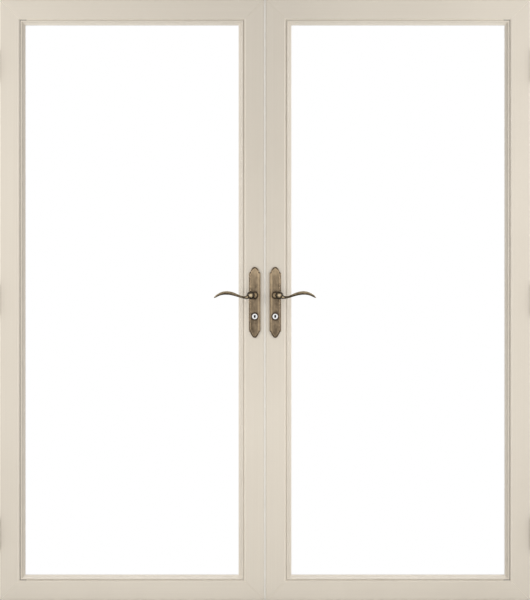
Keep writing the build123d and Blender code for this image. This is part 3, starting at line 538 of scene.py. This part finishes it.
def leverPaintedLight(tree):
    place, turn = placeAndTurn(tree)
    facing = addMath(tree, "ABSOLUTE", (-1900, 200), turn["Y"])
    across = addMath(tree, "ABSOLUTE", (-1900, 400), place["X"])
    shifted = addMath(tree, "ADD", (-1900, 600), place["Y"], leverLightPlan["leafMiddle"])
    proud = addMath(tree, "ABSOLUTE", (-1750, 600), shifted)
    upper = addRange(tree, (-1700, 0), turn["Z"], *leverLightPlan["arm"])
    neck = addRange(tree, (-1700, -200), across, *leverLightPlan["neck"])
    arm = addMath(tree, "MULTIPLY", (-1500, 0), upper, neck)
    ball = addRange(tree, (-1700, 200), facing, *leverLightPlan["ball"])
    flat = addNode(tree, "ShaderNodeCombineXYZ", (-1900, 800))
    tree.links.new(across, flat.inputs["X"])
    tree.links.new(place["Z"], flat.inputs["Z"])
    fromAxis = addVector(tree, "ADD", (-1700, 800), flat.outputs[0], leverLightPlan["hubAxis"])
    reach = addVector(tree, "LENGTH", (-1550, 800), fromAxis)
    hub = addRange(tree, (-1400, 500), reach, *leverLightPlan["hub"])
    outer = addRange(tree, (-1400, 200), across, *leverLightPlan["ballReach"], ball, arm)
    return addRange(tree, (-1100, 300), proud, *leverLightPlan["hubReach"], hub, outer)


evenWear = {"patches": 25.0, "band": (0.3, 0.7, 0.3, 0.5)}


def evenRubbed(tree):
    patches = addNoise(tree, (-1300, 300), objectCoords(tree, (-1500, 300)), evenWear["patches"], 2.0)
    return addRange(tree, (-1100, 300), patches, *evenWear["band"])


plateBrass = makeBrass("plateBrass", "plate", platePaintedLight)
leverBrass = makeBrass("leverBrass", "lever", leverPaintedLight)
hingeBrass = makeBrass("hingeBrass", "hinge", evenRubbed)
collarBrass = makeBrass("collarBrass", "collar", evenRubbed)
dress(plateBrass, *onBothLeaves("front_plate", "back_plate", "plate_screws"))
dress(leverBrass, *onBothLeaves("front_lever", "back_lever", "thumb_turn"))
dress(hingeBrass, "frame_hinge_flaps", "hinge_pins", *onBothLeaves("hinge_flaps"))
dress(collarBrass, *onBothLeaves("key_cylinder"))

nickel = {
    "tint": (0.90, 0.90, 0.89),
    "shade": (0.80, 0.80, 0.79),
    "marks": 1800.0,
    "markBand": (0.3, 0.7),
    "roughness": (0.14, 0.26),
}
# painted shade: the inside of the keyway slot is coloured near black
keywayShade = {"tint": (0.020, 0.013, 0.009), "mouth": 0.0007, "deep": 0.0012, "rough": 0.8}


def makeNickel():
    mat, tree, skin = newMaterial("brightNickel")
    coords = objectCoords(tree, (-1300, 0))
    parts = addNode(tree, "ShaderNodeSeparateXYZ", (-1100, -300))
    tree.links.new(coords, parts.inputs[0])
    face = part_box("left_key_plug")[0][1]  # the plug's front face
    mouth, deep = face + keywayShade["mouth"], face + keywayShade["deep"]
    inside = addRange(tree, (-850, -300), parts.outputs["Y"], mouth, deep, 0.0, 1.0)
    marks = addNoise(tree, (-850, 0), coords, nickel["marks"], 2.0)
    beforeShade = addMix(tree, (-500, 200), marks, rgba(nickel["tint"]), rgba(nickel["shade"]))
    turned = addRange(tree, (-500, -50), marks, *nickel["markBand"], *nickel["roughness"])
    colour = addMix(tree, (-250, 200), inside, beforeShade, rgba(keywayShade["tint"]))
    rough = addRange(tree, (-250, -100), inside, 0.0, 1.0, turned, keywayShade["rough"])
    tree.links.new(colour, skin.inputs["Base Color"])
    tree.links.new(rough, skin.inputs["Roughness"])
    skin.inputs["Metallic"].default_value = 1.0
    return mat


dress(makeNickel(), *onBothLeaves("key_plug"))
print("brass and nickel dressed")


def meshObject(bm, name, material):
    mesh = bpy.data.meshes.new(name)
    bm.to_mesh(mesh)
    bm.free()
    mesh.materials.append(material)
    made = bpy.data.objects.new(name, mesh)
    bpy.context.scene.collection.objects.link(made)
    return made


def addPiece(bm, name, body, material):
    piece = meshObject(bm, name, material)
    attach(piece, body)


def vertsOf(geom):
    return [part for part in geom if isinstance(part, bmesh.types.BMVert)]


lipPlan = {  # the soft fin that closes the gap between the leaves
    "section": (
        (0.0029, -0.0540),
        (0.0029, -0.0562),
        (0.0021, -0.0571),
        (0.0006, -0.0574),
        (-0.0012, -0.0574),
        (-0.0027, -0.0572),
    ),
    "thick": 0.0007,
    "short": 0.0005,
}


def makeMeetingLip():
    low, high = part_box("right_meeting_stile")
    foot = low[2] + lipPlan["short"]
    tall = high[2] - low[2] - 2 * lipPlan["short"]
    bm = bmesh.new()
    points = [bm.verts.new((x, y, foot)) for x, y in lipPlan["section"]]
    spine = [bm.edges.new(pair) for pair in zip(points, points[1:])]
    drawn = bmesh.ops.extrude_edge_only(bm, edges=spine)
    bmesh.ops.translate(bm, vec=(0.0, 0.0, tall), verts=vertsOf(drawn["geom"]))
    bmesh.ops.recalc_face_normals(bm, faces=bm.faces)
    bmesh.ops.solidify(bm, geom=bm.faces[:], thickness=lipPlan["thick"])
    bmesh.ops.recalc_face_normals(bm, faces=bm.faces)
    addPiece(bm, "meetingLip", "right_leaf", paleSeal)


makeMeetingLip()

screwPlan = {
    "segments": 24,
    "slack": 0.00012,
    "under": 0.00006,
    "crossShare": 0.62,
    "crossLoose": 1.02,
    "armShare": 0.13,
    "deepShare": 0.75,
    "taper": 0.72,
    "topLevel": -0.00001,
}
screwSeats = {
    "flap": {"head": 0.0037, "hole": 0.0022, "sink": 0.0015},
    "faceplate": {"head": 0.0038, "hole": 0.0020, "sink": 0.0018},
    "keep": {"head": 0.0027, "hole": 0.0016, "sink": 0.0011},
}


def insideCross(face, head):
    reach = head * screwPlan["crossShare"] * screwPlan["crossLoose"]
    onTop = face.calc_center_median().z > screwPlan["topLevel"]
    return onTop and all(vert.co.xy.length < reach for vert in face.verts)


def inArms(face, arm):
    middle = face.calc_center_median()
    return min(abs(middle.x), abs(middle.y)) < arm


def makeScrewHead(bm, seat):
    head = seat["head"] - screwPlan["slack"]
    bmesh.ops.create_circle(bm, cap_ends=True, segments=screwPlan["segments"], radius=head)
    field = bm.faces[:]
    skirt = bmesh.ops.extrude_edge_only(bm, edges=bm.edges[:])
    foot = vertsOf(skirt["geom"])
    narrow = (seat["hole"] - screwPlan["slack"]) / head
    bmesh.ops.scale(bm, vec=(narrow, narrow, 1.0), verts=foot)
    bmesh.ops.translate(bm, vec=(0.0, 0.0, -seat["sink"]), verts=foot)
    bmesh.ops.holes_fill(bm, edges=[edge for edge in bm.edges if edge.is_boundary])
    bmesh.ops.inset_region(bm, faces=field, thickness=head * (1.0 - screwPlan["crossShare"]))
    arm = head * screwPlan["armShare"]
    for axis in ((1.0, 0.0, 0.0), (0.0, 1.0, 0.0)):
        for side in (-arm, arm):
            cut = set(field)
            for face in field:
                cut.update(face.edges, face.verts)
            middle = [side * part for part in axis]
            bmesh.ops.bisect_plane(bm, geom=list(cut), plane_co=middle, plane_no=axis)
            field = [face for face in bm.faces if insideCross(face, head)]
    cross = [face for face in field if inArms(face, arm)]
    sunk = bmesh.ops.extrude_face_region(bm, geom=cross)
    bmesh.ops.delete(bm, geom=[face for face in cross if face.is_valid], context="FACES")
    low = vertsOf(sunk["geom"])
    bmesh.ops.translate(bm, vec=(0.0, 0.0, -seat["sink"] * screwPlan["deepShare"]), verts=low)
    bmesh.ops.scale(bm, vec=(screwPlan["taper"], screwPlan["taper"], 1.0), verts=low)
    bmesh.ops.recalc_face_normals(bm, faces=bm.faces)


def makeScrews(name, body, material, kind, places):
    bm = bmesh.new()
    makeScrewHead(bm, screwSeats[kind])
    pattern = bm.verts[:] + bm.edges[:] + bm.faces[:]
    for place, way, turn in places:
        copied = vertsOf(bmesh.ops.duplicate(bm, geom=pattern)["geom"])
        lay = Vector(way).to_track_quat("Z", "Y").to_matrix().to_4x4()
        spin = Matrix.Rotation(math.radians(turn), 4, "Z")
        seatPoint = Vector(place) - Vector(way) * screwPlan["under"]
        bmesh.ops.transform(bm, matrix=Matrix.Translation(seatPoint) @ lay @ spin, verts=copied)
    bmesh.ops.delete(bm, geom=vertsOf(pattern), context="VERTS")
    addPiece(bm, name, body, material)


hingeScrews = {
    "middles": (0.24374, 0.998, 1.75226),
    "spots": ((-0.0440, -0.036, 12.0), (-0.0284, 0.0, 71.0), (-0.0440, 0.036, 38.0)),
    "frameFace": 0.8562,
    "leafFace": 0.8558,
}


def flapPlaces(face, way):
    places = []
    for middle in hingeScrews["middles"]:
        for y, z, turn in hingeScrews["spots"]:
            places.append(((face, y, middle + z), (way, 0.0, 0.0), turn))
    return places


frameFace, leafFace = hingeScrews["frameFace"], hingeScrews["leafFace"]
framePlaces = flapPlaces(-frameFace, 1.0) + flapPlaces(frameFace, -1.0)
makeScrews("frameFlapScrews", "frame", hingeBrass, "flap", framePlaces)
makeScrews("leftFlapScrews", "left_leaf", hingeBrass, "flap", flapPlaces(-leafFace, -1.0))
makeScrews("rightFlapScrews", "right_leaf", hingeBrass, "flap", flapPlaces(leafFace, 1.0))

lockScrews = {
    "middle": -0.030,
    "faceplate": {"x": 0.003, "heights": (0.897, 1.074), "turn": 25.0},
    "headKeep": {"x": 0.0542, "spread": 0.0262, "z": 1.969, "turn": 40.0},
    "sillKeep": {"x": 0.0118, "spread": 0.0082, "z": 0.028, "turn": 65.0},
}


def facePlaces(side):
    plan, middle = lockScrews["faceplate"], lockScrews["middle"]
    return [((side * plan["x"], middle, z), (-side, 0.0, 0.0), plan["turn"]) for z in plan["heights"]]


def keepPlaces():
    head, sill, middle = lockScrews["headKeep"], lockScrews["sillKeep"], lockScrews["middle"]
    places = []
    for side in (-1.0, 1.0):
        for shift in (-1.0, 1.0):
            headSpot = (side * head["x"] + shift * head["spread"], middle, head["z"])
            sillSpot = (side * sill["x"], middle + shift * sill["spread"], sill["z"])
            places.append((headSpot, (0.0, 0.0, -1.0), head["turn"]))
            places.append((sillSpot, (0.0, 0.0, 1.0), sill["turn"]))
    return places


makeScrews("leftFaceplateScrews", "left_leaf", platedSteel, "faceplate", facePlaces(-1.0))
makeScrews("rightFaceplateScrews", "right_leaf", platedSteel, "faceplate", facePlaces(1.0))
makeScrews("keepScrews", "frame", platedSteel, "keep", keepPlaces())
print("meeting lip and screws made")


def seenRays(tree):  # rays that reach the eye without a diffuse bounce
    path = addNode(tree, "ShaderNodeLightPath", (-1500, 900)).outputs
    seen = addMath(tree, "MAXIMUM", (-1300, 900), path["Is Camera Ray"], path["Is Glossy Ray"])
    seen = addMath(tree, "MAXIMUM", (-1100, 900), seen, path["Is Transmission Ray"])
    fresh = addMath(tree, "LESS_THAN", (-1100, 700), path["Diffuse Depth"], 0.5)
    return addMath(tree, "MULTIPLY", (-900, 900), seen, fresh)


floorPlan = {  # pale near the doors, fading to the white of the background
    "half": 4.0,
    "drop": -0.0006,
    "tint": (0.90, 0.90, 0.89),
    "shade": (0.87, 0.87, 0.86),
    "patches": 1.5,
    "rough": 0.9,
    "fade": (1.5, 3.6, 0.0, 1.0),
}


def makeFloor():
    mat, tree, skin = newMaterial("paleFloor")
    coords = objectCoords(tree, (-1100, 0))
    patches = addNoise(tree, (-850, 0), coords, floorPlan["patches"], 2.0)
    colour = addMix(tree, (-400, 100), patches, rgba(floorPlan["tint"]), rgba(floorPlan["shade"]))
    tree.links.new(colour, skin.inputs["Base Color"])
    skin.inputs["Roughness"].default_value = floorPlan["rough"]
    reach = addVector(tree, "LENGTH", (-850, 400), coords)
    away = addRange(tree, (-600, 400), reach, *floorPlan["fade"])
    fade = addMath(tree, "MULTIPLY", (-300, 500), away, seenRays(tree))
    white = addNode(tree, "ShaderNodeEmission", (100, -300))
    mixShaders(tree, fade, skin.outputs[0], white.outputs[0])
    bm = bmesh.new()
    bmesh.ops.create_grid(bm, x_segments=2, y_segments=2, size=floorPlan["half"])
    bmesh.ops.translate(bm, vec=(0.0, 0.0, floorPlan["drop"]), verts=bm.verts)
    meshObject(bm, "floor", mat)


makeFloor()

skyPlan = {"tint": (1.0, 1.0, 1.0), "fill": 0.66, "seen": 1.0}


def makeWorld():
    world = bpy.data.worlds.new("softRoom")
    bpy.context.scene.world = world
    world.use_nodes = True
    tree = world.node_tree
    back = tree.nodes["Background"]
    back.inputs["Color"].default_value = rgba(skyPlan["tint"])
    strength = addRange(tree, (-300, 200), seenRays(tree), 0.0, 1.0, skyPlan["fill"], skyPlan["seen"])
    tree.links.new(strength, back.inputs["Strength"])


makeWorld()

lampPlans = {  # each side lamp lights its own leaf, past the hinge barrels
    "leftBox": {
        "place": (-1.9, -1.35, 1.55),
        "aim": (-0.75, -0.058, 1.30),
        "size": 1.5,
        "power": 15.0,
        "spread": 180.0,
        "mirrored": True,
        "spares": "right_",
    },
    "rightBox": {
        "place": (1.9, -1.35, 1.55),
        "aim": (0.75, -0.058, 1.30),
        "size": 1.5,
        "power": 15.0,
        "spread": 180.0,
        "mirrored": True,
        "spares": "left_",
    },
    "frontBox": {
        "place": (0.0, -1.3, 0.66),
        "aim": (0.0, 0.0, 0.66),
        "size": 0.5,
        "power": 0.95,
        "spread": 110.0,
        "mirrored": False,  # it would stand in the flat plates
    },
    "backBox": {
        "place": (0.0, 3.2, 2.6),
        "aim": (0.0, 0.0, 1.0),
        "size": 1.6,
        "power": 25.0,
        "spread": 180.0,
        "mirrored": True,
    },
}
hingeNodes = ("frame_hinge_flaps", "hinge_pins", "left_hinge_flaps", "right_hinge_flaps")


def spareList(name, spared):
    group = bpy.data.collections.new(name)
    for node in spared:
        group.objects.link(nodes[node])
    for entry in group.collection_objects:
        entry.light_linking.link_state = "EXCLUDE"
    return group


def makeLamp(name):
    plan = lampPlans[name]
    data = bpy.data.lights.new(name, "AREA")
    data.shape = "DISK"
    data.size = plan["size"]
    data.energy = plan["power"]
    data.spread = math.radians(plan["spread"])
    lamp = bpy.data.objects.new(name, data)
    lamp.location = plan["place"]
    way = Vector(plan["aim"]) - Vector(plan["place"])
    lamp.rotation_euler = way.to_track_quat("-Z", "Y").to_euler()
    lamp.visible_camera = False
    lamp.visible_transmission = False  # not seen through the panes
    lamp.visible_glossy = plan["mirrored"]
    if "spares" in plan:
        spared = [node for node in nodes if node.startswith(plan["spares"])]
        lamp.light_linking.receiver_collection = spareList(name + "Spares", spared)
        lamp.light_linking.blocker_collection = spareList(name + "Passes", hingeNodes)
    bpy.context.scene.collection.objects.link(lamp)


for lampName in lampPlans:
    makeLamp(lampName)

cameraPlan = {  # far away and level, as the photo shows no perspective
    "lens": 800.0,
    "sensor": 36.0,
    "seenHeight": 1.9322,
    "face": -0.058,
    "eye": 0.998,
    "farEnd": 200.0,
}


def makeCamera():
    plan = cameraPlan
    data = bpy.data.cameras.new("camera")
    data.lens = plan["lens"]
    data.sensor_width = plan["sensor"]
    data.clip_end = plan["farEnd"]
    camera = bpy.data.objects.new("camera", data)
    away = plan["lens"] / plan["sensor"] * plan["seenHeight"]
    camera.location = (0.0, plan["face"] - away, plan["eye"])
    camera.rotation_euler = (math.radians(90.0), 0.0, 0.0)
    bpy.context.scene.collection.objects.link(camera)
    bpy.context.scene.camera = camera


makeCamera()
bpy.context.scene.view_settings.view_transform = "Standard"
print("stage, lamps and camera ready")
